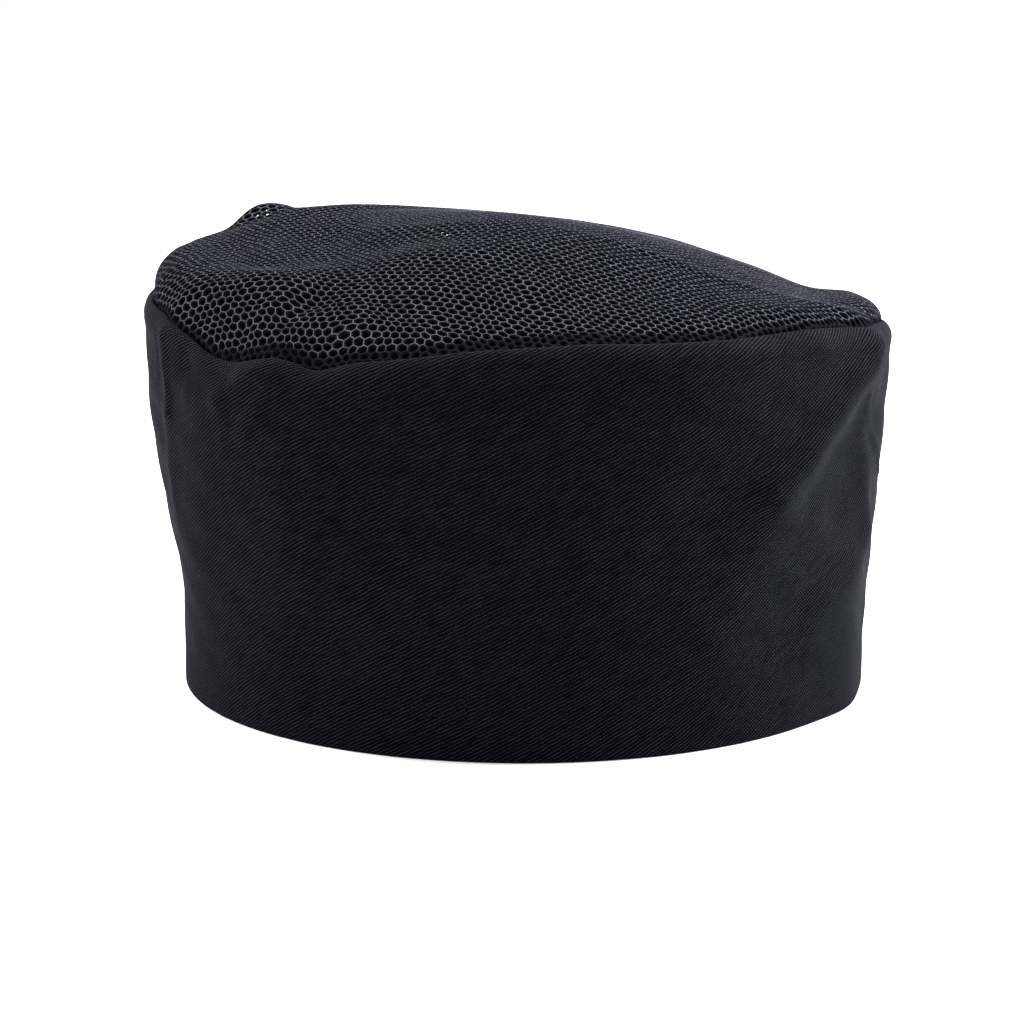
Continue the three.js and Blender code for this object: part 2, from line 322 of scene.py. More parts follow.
def distance_to_line(x, y, start_x, start_y, end_x, end_y):
    """Distance of points from a straight line with two ends, in the plane."""
    along_x, along_y = end_x - start_x, end_y - start_y
    share = ((x - start_x) * along_x + (y - start_y) * along_y) / (along_x ** 2 + along_y ** 2)
    t = np.clip(share, 0, 1)
    return np.hypot(x - start_x - t * along_x, y - start_y - t * along_y)


def sum_of_bells(rows, value_name, angle):
    """A named column of a table summed round the cap, each row as a bell about its own angle."""
    columns = zip(rows["angle"], rows["half_angle"], rows[value_name])
    return sum(value * bell(wrap_degrees(angle - at), half_angle) for at, half_angle, value in columns)


def seam_height(angle):
    return bpy.context.scene.cap_band.seam_height + sum_of_bells(SEAM_WAVES, "rise", angle)


def seam_puckers(angle):
    """Small gathers along the seam, the same on both sides of it."""
    counts_and_rises = zip(SEAM_PUCKERS["count"], SEAM_PUCKERS["rise"])
    return sum(rise * np.sin(np.radians(angle) * count + count) for count, rise in counts_and_rises)


def band_fold_rise(folds, angle, height):
    """How far the folds of a table push the band outwards, measured on the cloth laid flat."""
    arc_per_degree = math.radians(1) * FOLD_RADIUS
    total = np.zeros(np.broadcast(angle, height).shape)
    for fold in range(len(folds["name"])):
        distance = distance_to_line(
            wrap_degrees(angle) * arc_per_degree, height,
            folds["low_angle"][fold] * arc_per_degree, folds["low"][fold],
            folds["high_angle"][fold] * arc_per_degree, folds["high"][fold],
        )
        total += folds["rise"][fold] * bell(distance, folds["half_width"][fold])
    return total


def band_wave_rise(angle, height):
    """Soft waves of the loose cloth, still at the rim, and puckers that fade below the seam."""
    total = np.zeros(np.broadcast(angle, height).shape)
    for count, lean, rise in zip(*(CLOTH_WAVES[name] for name in ("count", "lean_degrees", "rise"))):
        turn = np.radians(angle) + height * math.tan(math.radians(lean)) / FOLD_RADIUS
        total += rise * np.sin(count * turn + count)
    below_seam = np.maximum(seam_height(angle) - height, 0)
    off_rim = np.clip(height / WAVES_GROWN, 0, 1)
    bead = SEAM_BEAD_RISE * bell(below_seam - SEAM_BEAD_DROP, SEAM_BEAD_HALF_WIDTH)
    return total * off_rim + bead + seam_puckers(angle) * bell(below_seam, PUCKER_REACH)


def band_point(angle, height, inset):
    """Points of the band, a distance inside its outer face."""
    half_width = read_smooth(BAND_SECTIONS, "height", "half_width", height)
    half_depth = read_smooth(BAND_SECTIONS, "height", "half_depth", height)
    centre_x = read_smooth(BAND_SECTIONS, "height", "centre_x", height)
    turn = np.radians(angle)
    folds = band_fold_rise(BAND_FOLDS, angle, height) + band_fold_rise(FINE_FOLDS, angle, height)
    outwards = folds + band_wave_rise(angle, height) - inset
    x = centre_x + (half_width + outwards) * np.sin(turn)
    y = -(half_depth + outwards) * np.cos(turn)
    return np.stack(np.broadcast_arrays(x, y, height), axis=-1)


def crown_rise(angle, along):
    """The crown's height above the seam plane, its eight section curves blended smoothly by direction."""
    count = len(CROWN_DIRECTIONS)
    place = np.mod(angle, 360) * count / 360
    first = np.floor(place).astype(int)
    t = place - first
    weights = [
        (-t + 2 * t ** 2 - t ** 3) / 2,
        (2 - 5 * t ** 2 + 3 * t ** 3) / 2,
        (t + 4 * t ** 2 - 3 * t ** 3) / 2,
        (t ** 3 - t ** 2) / 2,
    ]
    heights = np.stack([
        np.broadcast_to(read_smooth(CROWN_SECTIONS, "along", name, along), np.shape(angle))
        for name in CROWN_DIRECTIONS
    ])
    places = np.arange(len(angle))
    return sum(weight * heights[(first + turn - 1) % count, places] for turn, weight in enumerate(weights))


def crown_fold_rise(x, y):
    total = np.zeros(np.shape(x))
    for fold in range(len(CROWN_FOLDS["name"])):
        ends = (CROWN_FOLDS[name][fold] for name in ("from_x", "from_y", "to_x", "to_y"))
        distance = distance_to_line(x, y, *ends)
        total += CROWN_FOLDS["rise"][fold] * bell(distance, CROWN_FOLDS["half_width"][fold])
    return total


def crown_point(angle, along, puff, inset):
    """Points of the crown: along runs from 0 at its highest point to 1 at the end of the dome, then puff
    runs from 0 at the dome's end to 1 at the seam, round the puffed and undercut edge."""
    band = bpy.context.scene.cap_band
    seam = band_point(angle, seam_height(angle) - CROWN_SEAM_DROP, CROWN_TUCK_IN)
    turn = math.pi / 2 + (-PUFF_UNDERCUT - math.pi / 2) * puff
    profile = (np.sin(turn) + math.sin(PUFF_UNDERCUT)) / (1 + math.sin(PUFF_UNDERCUT))
    inwards = PUFF_WIDTH * (math.cos(PUFF_UNDERCUT) - np.cos(turn))
    from_x, from_y = seam[..., 0] - CROWN_CENTRE_X, seam[..., 1]
    reach = np.hypot(from_x, from_y)
    dome_reach = reach - PUFF_WIDTH * math.cos(PUFF_UNDERCUT)
    radius = np.where(puff > 0, reach - inwards, dome_reach * along)
    skin_inset = inset * np.cos(turn)
    x = CROWN_CENTRE_X + from_x / reach * (radius - skin_inset)
    y = from_y / reach * (radius - skin_inset)
    share = np.minimum(radius / reach, 1)
    base = band.seam_height + (seam[..., 2] - band.seam_height) * share ** 4
    folds = crown_fold_rise(x, y) * profile
    height = base + crown_rise(angle, radius / dome_reach) * profile + folds
    return np.stack([x, y, height - inset * np.sin(turn)], axis=-1)


# Meshes

def ring_faces(rows, columns, closed):
    """Quads between rings of points, given from the outside's top ring down; closed joins the last ring
    to the first."""
    row, column = np.meshgrid(np.arange(rows if closed else rows - 1), np.arange(columns), indexing="ij")
    below, beside = (row + 1) % rows, (column + 1) % columns
    corners = [
        below * columns + column,
        below * columns + beside,
        row * columns + beside,
        row * columns + column,
    ]
    return np.stack(corners, axis=-1).reshape(-1, 4)


def ring_corner_values(values):
    """A value for each corner of the quads of ring_faces, from one for each row and column edge."""
    return np.stack([values[1:, :-1], values[1:, 1:], values[:-1, 1:], values[:-1, :-1]], axis=-1).reshape(-1)


def new_mesh(name, points, faces):
    mesh = bpy.data.meshes.new(name)
    mesh.from_pydata(points.reshape(-1, 3).tolist(), [], [face.tolist() for face in faces])
    mesh.polygons.foreach_set("use_smooth", np.ones(len(mesh.polygons), bool))
    return mesh


def new_object(name, mesh):
    made = bpy.data.objects.new(name, mesh)
    bpy.context.scene.collection.objects.link(made)
    return made


def set_uv(mesh, name, across, up):
    layer = mesh.uv_layers.new(name=name)
    layer.uv.foreach_set("vector", np.stack([across, up], axis=-1).reshape(-1).astype(np.float32))


def set_point_values(mesh, name, values):
    layer = mesh.attributes.new(name, "FLOAT", "POINT")
    layer.data.foreach_set("value", values.reshape(-1).astype(np.float32))


def band_mesh(settings):
    """Down the outer face from the seam, round the folded rim, up the inner face, and over the top edge.
    Its edge attribute is 1 on the top edge and fades below it, and marks a painted highlight where the rolled
    edge faces the light; its pull attribute is how far the grain is pulled up."""
    columns, roll_rows, outer_rows, rim_rows, inner_rows = 480, 8, 84, 7, 40
    angle = np.arange(columns + 1) * 360 / columns - 180
    seam = seam_height(angle)
    foot = seam - settings.roll_height
    rim = settings.wall / 2
    levels = []
    for turn in np.linspace(math.pi / 2, 0, roll_rows, endpoint=False):
        height = seam - settings.roll_height * (1 - math.sin(turn))
        levels.append((height, settings.roll_inset * (1 - math.cos(turn))))
    levels += [(rim + (foot - rim) * share, 0) for share in np.linspace(1, 0, outer_rows)]
    lowest = len(levels) + rim_rows // 2
    for turn in np.linspace(0, math.pi, rim_rows + 2)[1:-1]:
        levels.append((rim * (1 - math.sin(turn)) + 0 * seam, rim * (1 - math.cos(turn))))
    levels += [(rim + (foot - rim) * share, settings.wall) for share in np.linspace(0, 1, inner_rows)]
    for share in (0.4, 0.75, 1.0):
        height = foot + (settings.roll_height - settings.wall) * share
        levels.append((height, settings.wall + (settings.roll_inset - settings.wall) * share ** 2))
    points = np.array([band_point(angle, height, inset) for height, inset in levels])
    mesh = new_mesh("twill_band_piece", points[:, :-1], ring_faces(len(levels), columns, closed=True))
    looped = np.concatenate([points, points[:1]])
    steps_down = np.linalg.norm(np.diff(looped, axis=0), axis=-1)
    down = np.concatenate([np.zeros((1, columns + 1)), np.cumsum(steps_down, axis=0)])
    up = down[lowest] - down
    middle = points[roll_rows + outer_rows // 2]
    round_it = np.concatenate([[0], np.cumsum(np.linalg.norm(np.diff(middle, axis=0), axis=-1))])
    across = np.broadcast_to(round_it, up.shape)
    set_uv(mesh, "cloth", ring_corner_values(across), ring_corner_values(up))
    below_seam = seam - points[..., 2]
    outside = np.arange(len(levels))[:, None] < lowest
    set_point_values(mesh, "edge", (bell(below_seam, EDGE_HIGHLIGHT_REACH) * outside)[:, :-1])
    pulled = np.cumsum(sum_of_bells(GRAIN_PULL, "slope", angle) * np.gradient(round_it))
    set_point_values(mesh, "pull", np.broadcast_to(pulled, below_seam.shape)[:, :-1])
    return mesh


def skin_mesh(band, crown):
    """The smooth middle of the net, with a UV map that lays it flat: distances from the crown's highest
    point are true, and directions are those in plan, turned and skewed as the net is pulled. It runs on
    past the seam allowance, so that whole cells of net can end there; its cut attribute is 1 where the net
    ends."""
    columns, dome_rows, puff_rows, tuck_rows = 360, 72, 26, 14
    angle = np.arange(columns + 1) * 360 / columns - 180
    inset = crown.yarn_depth / 2
    past_cut = 1.9
    rings = [crown_point(angle, share, np.float64(0), inset) for share in np.linspace(0, 1, dome_rows + 1)]
    rings += [crown_point(angle, 1, share, inset) for share in np.linspace(0, 1, puff_rows + 1)[1:]]
    tucks = np.linspace(0, past_cut, tuck_rows + 1)[1:]
    start, end = seam_height(angle) - CROWN_SEAM_DROP, seam_height(angle) - crown.allowance
    for share in tucks:
        rings.append(band_point(angle, start + (end - start) * share, CROWN_TUCK_IN + inset))
    points = np.array(rings)
    # Painted shade: the net is painted dark up to a height over its seam, where it lies in the groove behind
    # the band
    above_seam = points[..., 2] - (seam_height(angle) - CROWN_SEAM_DROP)
    painted_shade_reach = PAINTED_SHADE_TOP + sum_of_bells(PAINTED_SHADE_DEEPER, "rise", angle)
    painted_groove_shade = np.clip((painted_shade_reach - above_seam) / PAINTED_SHADE_FADE, 0, 1)
    steps_out = np.linalg.norm(np.diff(points, axis=0), axis=-1)
    out = np.concatenate([np.zeros((1, columns + 1)), np.cumsum(steps_out, axis=0)])
    seam = points[dome_rows + puff_rows]
    bearing = np.arctan2(seam[:, 1], seam[:, 0] - CROWN_CENTRE_X) + crown.row_turn
    flat_x = CROWN_CENTRE_X + out * np.cos(bearing)
    flat_y = out * np.sin(bearing) + crown.skew * flat_x
    rows = len(rings)
    mesh = new_mesh("net_skin", points[:, :-1], ring_faces(rows, columns, closed=False))
    set_uv(mesh, "flat", ring_corner_values(flat_x), ring_corner_values(flat_y))
    cut = np.concatenate([np.zeros(rows - tuck_rows), tucks])
    set_point_values(mesh, "cut", np.repeat(cut, columns))
    set_point_values(mesh, "painted_groove_shade", painted_groove_shade[:, :-1])
    return mesh


def flat_extent(skin, right, back):
    """Width and length of one quarter of the skin's flat layout, as far as the net is cut."""
    place = np.zeros(2 * len(skin.loops), np.float32)
    skin.uv_layers["flat"].uv.foreach_get("vector", place)
    vertex = np.zeros(len(skin.loops), np.int32)
    skin.loops.foreach_get("vertex_index", vertex)
    cut = np.zeros(len(skin.vertices), np.float32)
    skin.attributes["cut"].data.foreach_get("value", cut)
    place = place.reshape(-1, 2)
    inside = place[(cut[vertex] <= 1) & ((place[:, 0] > 0) == right) & ((place[:, 1] > 0) == back)]
    return [float(size) for size in np.ptp(inside, axis=0)]


# Node trees

def add_node(tree, kind, inputs=None, **settings):
    """A node with its settings, and inputs that are values or other nodes' outputs."""
    made = tree.nodes.new(kind)
    for name, value in settings.items():
        setattr(made, name, value)
    for name, value in (inputs or {}).items():
        if isinstance(value, bpy.types.NodeSocket):
            tree.links.new(value, made.inputs[name])
        else:
            made.inputs[name].default_value = value
    return made


def calculate(tree, operation, *values):
    """A Math node of one operation on values or sockets."""
    return add_node(tree, "ShaderNodeMath", dict(enumerate(values)), operation=operation).outputs[0]


def calculate_vector(tree, operation, *values):
    """A Vector Math node of one operation on vectors or sockets."""
    return add_node(tree, "ShaderNodeVectorMath", dict(enumerate(values)), operation=operation).outputs[0]


def scale_vector(tree, vector, size):
    return add_node(tree, "ShaderNodeVectorMath", {0: vector, "Scale": size}, operation="SCALE").outputs[0]


def along_vector(tree, vector, direction):
    """How far a vector runs along a fixed direction."""
    product = add_node(tree, "ShaderNodeVectorMath", {0: vector, 1: direction}, operation="DOT_PRODUCT")
    return product.outputs["Value"]


def wave(tree, turns):
    """A wave from 0 to 1, once for each whole turn, highest at 0."""
    cosine = calculate(tree, "COSINE", calculate(tree, "MULTIPLY", turns, 2 * math.pi))
    return calculate(tree, "MULTIPLY_ADD", cosine, 0.5, 0.5)


def new_material(name, **constants):
    """A material with one Principled shader, whose even values are set on the shader's own sockets."""
    material = bpy.data.materials.new(name)
    material.use_nodes = True
    tree = material.node_tree
    shader = tree.nodes["Principled BSDF"]
    for socket, value in constants.items():
        shader.inputs[socket.replace("_", " ")].default_value = value
    return material, tree, shader


def noise(tree, place, scale, low, high, detail=2.0):
    """Smooth noise that would run from low to high at its furthest, finer the larger its scale."""
    made = add_node(tree, "ShaderNodeTexNoise", {"Vector": place, "Scale": scale, "Detail": detail})
    return calculate(tree, "MULTIPLY_ADD", made.outputs["Fac"], high - low, low)


def read_attribute(tree, name):
    """A value that the piece's own mesh holds."""
    held = add_node(tree, "ShaderNodeAttribute", attribute_name=name, attribute_type="GEOMETRY")
    return held.outputs["Fac"]


def mix_colours(tree, factor, low, high, shader):
    """Paints a shader from one colour to another by a factor. A Mix node has sockets of the same names for
    each kind of value, so its colours go by number."""
    low_socket, high_socket, result_socket = 6, 7, 2
    colour = add_node(tree, "ShaderNodeMix", {
        "Factor": factor, low_socket: low, high_socket: high,
    }, data_type="RGBA").outputs[result_socket]
    tree.links.new(colour, shader.inputs["Base Color"])


def raise_relief(tree, height, strength, distance, shader):
    """Bumps a shader's surface by a height from 0 to 1, which stands for a distance in metres."""
    bump = add_node(tree, "ShaderNodeBump", {"Strength": strength, "Distance": distance, "Height": height})
    tree.links.new(bump.outputs["Normal"], shader.inputs["Normal"])


def twill_material(settings):
    """Diagonal ribs of slanted yarn floats, with uneven yarn, on the band's own map of the cloth."""
    material, tree, shader = new_material("twill", Roughness=0.7, Sheen_Weight=0.028, Sheen_Roughness=0.3)
    shader.inputs["Specular IOR Level"].default_value = 0.006
    shader.inputs["Sheen Tint"].default_value = (0.58, 0.61, 0.90, 1)
    flat = add_node(tree, "ShaderNodeUVMap", uv_map="cloth").outputs["UV"]
    pull = calculate(tree, "MULTIPLY", read_attribute(tree, "pull"), -1.0)
    pulled = add_node(tree, "ShaderNodeCombineXYZ", {"Y": pull}).outputs[0]
    cloth = calculate_vector(tree, "ADD", flat, pulled)
    lean, pitch = settings.wale_angle, settings.wale_pitch
    length = FLOAT_LENGTH * pitch
    # Ribs that wander slowly over the cloth, and a little from yarn to yarn
    wander = calculate(tree, "ADD", noise(tree, cloth, 55, 0.0, 1.3), noise(tree, cloth, 480, 0.0, 0.55))
    across = along_vector(tree, cloth, (-math.sin(lean) / pitch, math.cos(lean) / pitch, 0))
    ribs = calculate(tree, "ADD", across, wander)
    # Floats along each rib, with dips between them
    along = along_vector(tree, cloth, (math.cos(lean) / length, math.sin(lean) / length, 0))
    step = calculate(tree, "MULTIPLY", calculate(tree, "FLOOR", ribs), FLOAT_STEP)
    floats = wave(tree, calculate(tree, "ADD", along, step))
    dipped = calculate(tree, "MULTIPLY_ADD", floats, FLOAT_DIP, 1 - FLOAT_DIP)
    shaped = calculate(tree, "POWER", calculate(tree, "MULTIPLY", wave(tree, ribs), dipped), RIB_SHARPNESS)
    # Speckle of single fibres, and yarns that come and go along the ribs
    speckled = calculate(tree, "MULTIPLY", shaped, noise(tree, cloth, 2300, -1.0, 3.0))
    drawn_out = calculate(tree, "MULTIPLY", along, YARN_STRETCH)
    yarn_place = add_node(tree, "ShaderNodeCombineXYZ", {"X": drawn_out, "Y": ribs}).outputs[0]
    yarns = noise(tree, yarn_place, 1.0, -0.6, 2.6, detail=1.0)
    height = calculate(tree, "MAXIMUM", calculate(tree, "MULTIPLY", speckled, yarns), 0.0)
    # Uneven wear over the cloth, and a painted highlight along the rolled top edge
    patches = noise(tree, cloth, 120, 0.5, 1.5)
    clouds = noise(tree, cloth, 18, 0.6, 1.4)
    # Painted highlight: the top edge is painted paler, as lit from above
    tone_scale = calculate(tree, "MULTIPLY_ADD", read_attribute(tree, "edge"), EDGE_HIGHLIGHT, 1.0)
    tone = calculate(tree, "MULTIPLY", calculate(tree, "MULTIPLY", patches, clouds), tone_scale)
    factor = calculate(tree, "MULTIPLY", height, tone)
    mix_colours(tree, factor, settings.groove_colour, settings.rib_colour, shader)
    raise_relief(tree, height, 1.0, TWILL_RELIEF, shader)
    return material


def net_material(settings):
    """Round yarn with a painted highlight on its crests and painted shade down its sides between its strands,
    and painted shade in the groove at the seam.
    """
    material, tree, shader = new_material("net_yarn", Roughness=0.6, Sheen_Weight=0.012, Sheen_Roughness=0.4)
    shader.inputs["Specular IOR Level"].default_value = 0.0
    shader.inputs["Sheen Tint"].default_value = (0.56, 0.59, 0.88, 1)
    strand = read_attribute(tree, "strand")
    place = add_node(tree, "ShaderNodeTexCoord").outputs["Object"]
    fibres = noise(tree, place, 2600, 0.4, 1.6, detail=3.0)
    tone_scale = noise(tree, place, 420, -0.3, 2.3)
    # Painted highlight on the crest of each strand, with painted shade down its sides towards the hole
    rise = add_node(tree, "ShaderNodeMapRange", {
        "Value": strand, "From Min": NET_HIGHLIGHT_START, "From Max": 1.0,
    }, interpolation_type="SMOOTHSTEP").outputs["Result"]
    height = calculate(tree, "MULTIPLY", rise, fibres)
    # Painted shade: the yarn is painted darker in the groove behind the band's top edge
    painted_shade_dimming = calculate(tree, "MULTIPLY_ADD", read_attribute(tree, "painted_groove_shade"), -PAINTED_SHADE_DARKENING, 1.0)
    tone = calculate(tree, "MULTIPLY", calculate(tree, "MULTIPLY", height, tone_scale), painted_shade_dimming)
    mix_colours(tree, tone, settings.painted_shade_colour, settings.crest_highlight_colour, shader)
    raise_relief(tree, height, 0.5, NET_RELIEF, shader)
    return material


# Faces round one hole: sides in its ring, and rows from the crest of the yarn to the crest below
NET_SIDES = 12
STRAND_ROWS = 5
NET_QUARTERS = table("name right back", [
    ("net_front_left", 0, 0),
    ("net_front_right", 1, 0),
    ("net_back_left", 0, 1),
    ("net_back_right", 1, 1),
])
NET_INPUTS = [
    ("Hole Pitch", "hole_pitch"),
    ("Row Spacing", "row_spacing"),
    ("Hole Width", "hole_width"),
    ("Yarn Depth", "yarn_depth"),
    ("Unevenness", "unevenness"),
    ("Drift", "drift"),
]


def net_tree(material):
    """Knits cells round staggered holes on the flat layout of a skin, then lays them on the skin."""
    tree = bpy.data.node_groups.new("knit_net", "GeometryNodeTree")
    face = tree.interface
    face.new_socket("Skin", in_out="INPUT", socket_type="NodeSocketGeometry")
    for name, _ in NET_INPUTS:
        face.new_socket(name, in_out="INPUT", socket_type="NodeSocketFloat")
    for name in ("Right Half", "Back Half"):
        face.new_socket(name, in_out="INPUT", socket_type="NodeSocketBool")
    face.new_socket("Net", in_out="OUTPUT", socket_type="NodeSocketGeometry")
    given = tree.nodes.new("NodeGroupInput").outputs
    pitch, spacing = given["Hole Pitch"], given["Row Spacing"]
    centres = lattice(tree, given, pitch, spacing)
    cell = net_cell(tree, pitch, spacing, given["Hole Width"], given["Yarn Depth"])
    copies = add_node(tree, "GeometryNodeInstanceOnPoints", {"Points": centres, "Instance": cell}).outputs[0]
    loose = add_node(tree, "GeometryNodeRealizeInstances", {"Geometry": copies}).outputs[0]
    joined = merge_close(tree, loose)
    walled = wall_at_border(tree, joined, given["Yarn Depth"])
    laid = lay_on_skin(tree, walled, given)
    angle = tree.nodes.new("GeometryNodeInputMeshEdgeAngle").outputs["Unsigned Angle"]
    gentle = calculate(tree, "LESS_THAN", angle, SHARP_TURN)
    smooth = add_node(tree, "GeometryNodeSetShadeSmooth", {
        "Geometry": laid, "Shade Smooth": gentle,
    }, domain="EDGE").outputs[0]
    plain = add_node(tree, "GeometryNodeRealizeInstances", {"Geometry": smooth}).outputs[0]
    dyed = add_node(tree, "GeometryNodeSetMaterial", {"Geometry": plain, "Material": material}).outputs[0]
    tree.links.new(dyed, tree.nodes.new("NodeGroupOutput").inputs["Net"])
    return tree


def named_value(tree, name, data_type):
    """A named attribute of the geometry that it is read on."""
    return add_node(tree, "GeometryNodeInputNamedAttribute", {"Name": name}, data_type=data_type).outputs[0]


def sample_skin(tree, skin, value, place, data_type):
    """A value of the skin where its flat layout has the given place."""
    sample = add_node(tree, "GeometryNodeSampleUVSurface", {
        "Mesh": skin, "Value": value, "UV Map": named_value(tree, "flat", "FLOAT_VECTOR"), "Sample UV": place,
    }, data_type=data_type)
    return sample.outputs["Value"], sample.outputs["Is Valid"]


def lattice(tree, given, pitch, spacing):
    """Middles of the holes: rows across the cap, each second row moved by half a pitch, in one quarter."""
    half_counts = [
        calculate(tree, "CEIL", calculate(tree, "DIVIDE", LATTICE_WIDTH / 2, step))
        for step in (pitch, spacing)
    ]
    counts = [calculate(tree, "MULTIPLY_ADD", half, 2, 1) for half in half_counts]
    sizes = [
        calculate(tree, "MULTIPLY", calculate(tree, "SUBTRACT", count, 1), step)
        for count, step in zip(counts, (pitch, spacing))
    ]
    grid = add_node(tree, "GeometryNodeMeshGrid", {
        "Vertices X": counts[0], "Vertices Y": counts[1], "Size X": sizes[0], "Size Y": sizes[1],
    }).outputs["Mesh"]
    place = tree.nodes.new("GeometryNodeInputPosition").outputs[0]
    row = calculate(tree, "ROUND", calculate(tree, "DIVIDE", along_vector(tree, place, (0, 1, 0)), spacing))
    odd = calculate(tree, "FLOORED_MODULO", row, 2.0)
    shift = calculate(tree, "MULTIPLY", calculate(tree, "MULTIPLY", odd, 0.5), pitch)
    offset = add_node(tree, "ShaderNodeCombineXYZ", {"X": shift}).outputs[0]
    staggered = add_node(tree, "GeometryNodeSetPosition", {"Geometry": grid, "Offset": offset}).outputs[0]
    beyond, found = sample_skin(tree, given["Skin"], named_value(tree, "cut", "FLOAT"), place, "FLOAT")
    wanted = []
    for direction, half in (((1, 0, 0), "Right Half"), ((0, 1, 0), "Back Half")):
        on_side = calculate(tree, "GREATER_THAN", along_vector(tree, place, direction), 0.0)
        wanted.append(calculate(tree, "COMPARE", on_side, given[half], 0.5))
    kept = calculate(tree, "MULTIPLY", calculate(tree, "LESS_THAN", beyond, 1.0), found)
    for on_side in wanted:
        kept = calculate(tree, "MULTIPLY", kept, on_side)
    dropped = calculate(tree, "LESS_THAN", kept, 0.5)
    quarter = add_node(tree, "GeometryNodeDeleteGeometry", {"Geometry": staggered, "Selection": dropped})
    return quarter.outputs[0]


def net_cell(tree, pitch, spacing, hole_width, depth):
    """Half of the yarn on each side of the webs round one hole: a grid bent round the hole, from the crest
    of the webs through the hole's lip to the crest below."""
    grid = add_node(tree, "GeometryNodeMeshGrid", {
        "Vertices X": NET_SIDES + 1, "Vertices Y": STRAND_ROWS, "Size X": 1.0, "Size Y": 1.0,
    }).outputs["Mesh"]
    place = tree.nodes.new("GeometryNodeInputPosition").outputs[0]
    turn = calculate(tree, "MULTIPLY", along_vector(tree, place, (1, 0, 0)), -2 * math.pi)
    climb = calculate(tree, "MULTIPLY", along_vector(tree, place, (0, 1, 0)), math.pi)
    sixth = math.pi / 3
    in_sixth = calculate(tree, "FLOORED_MODULO", calculate(tree, "ADD", turn, sixth / 2), sixth)
    off_neighbour = calculate(tree, "SUBTRACT", in_sixth, sixth / 2)
    half_pitch = calculate(tree, "MULTIPLY", pitch, 0.5)
    crest = calculate(tree, "DIVIDE", half_pitch, calculate(tree, "COSINE", off_neighbour))
    web = calculate(tree, "MULTIPLY_ADD", hole_width, -0.5, crest)
    into_web = calculate(tree, "MULTIPLY", web, calculate(tree, "COSINE", climb))
    radius = calculate(tree, "SUBTRACT", crest, into_web)
    half_depth = calculate(tree, "MULTIPLY", depth, 0.5)
    height = calculate(tree, "MULTIPLY", half_depth, calculate(tree, "SINE", climb))
    even_spacing = calculate(tree, "MULTIPLY", pitch, math.cos(math.radians(30)))
    squeeze = calculate(tree, "DIVIDE", spacing, even_spacing)
    x = calculate(tree, "MULTIPLY", radius, calculate(tree, "COSINE", turn))
    even_y = calculate(tree, "MULTIPLY", radius, calculate(tree, "SINE", turn))
    y = calculate(tree, "MULTIPLY", even_y, squeeze)
    bent_place = add_node(tree, "ShaderNodeCombineXYZ", {"X": x, "Y": y, "Z": height}).outputs[0]
    off_lip = calculate(tree, "ABSOLUTE", along_vector(tree, place, (0, 1, 0)))
    strand = calculate(tree, "MULTIPLY", off_lip, 2.0)
    named = add_node(tree, "GeometryNodeStoreNamedAttribute", {
        "Geometry": grid, "Name": "strand", "Value": strand,
    }, data_type="FLOAT", domain="POINT").outputs[0]
    return add_node(tree, "GeometryNodeSetPosition", {"Geometry": named, "Position": bent_place}).outputs[0]


def merge_close(tree, geometry):
    merged = add_node(tree, "GeometryNodeMergeByDistance", {"Geometry": geometry, "Distance": MERGE_DISTANCE})
    return merged.outputs[0]


def wall_at_border(tree, geometry, depth):
    """Closes the net's border with a wall from the upper crests down to the lower ones."""
    faces = tree.nodes.new("GeometryNodeInputMeshEdgeNeighbors").outputs["Face Count"]
    place = tree.nodes.new("GeometryNodeInputPosition").outputs[0]
    open_edge = calculate(tree, "COMPARE", faces, 1.0, 0.1)
    upper = calculate(tree, "GREATER_THAN", along_vector(tree, place, (0, 0, 1)), 0.0)
    down = add_node(tree, "ShaderNodeCombineXYZ", {"Z": calculate(tree, "MULTIPLY", depth, -1.0)}).outputs[0]
    walled = add_node(tree, "GeometryNodeExtrudeMesh", {
        "Mesh": geometry, "Selection": calculate(tree, "MULTIPLY", open_edge, upper), "Offset": down,
        "Offset Scale": 1.0,
    }, mode="EDGES").outputs["Mesh"]
    return merge_close(tree, walled)


def stray(tree, level, scale, reach):
    """A smooth random shift, up to half a reach each way."""
    made = add_node(tree, "ShaderNodeTexNoise", {"Vector": level, "Scale": scale, "Detail": 1.0})
    centred = calculate_vector(tree, "SUBTRACT", made.outputs["Color"], (0.5, 0.5, 0.5))
    return scale_vector(tree, centred, reach)


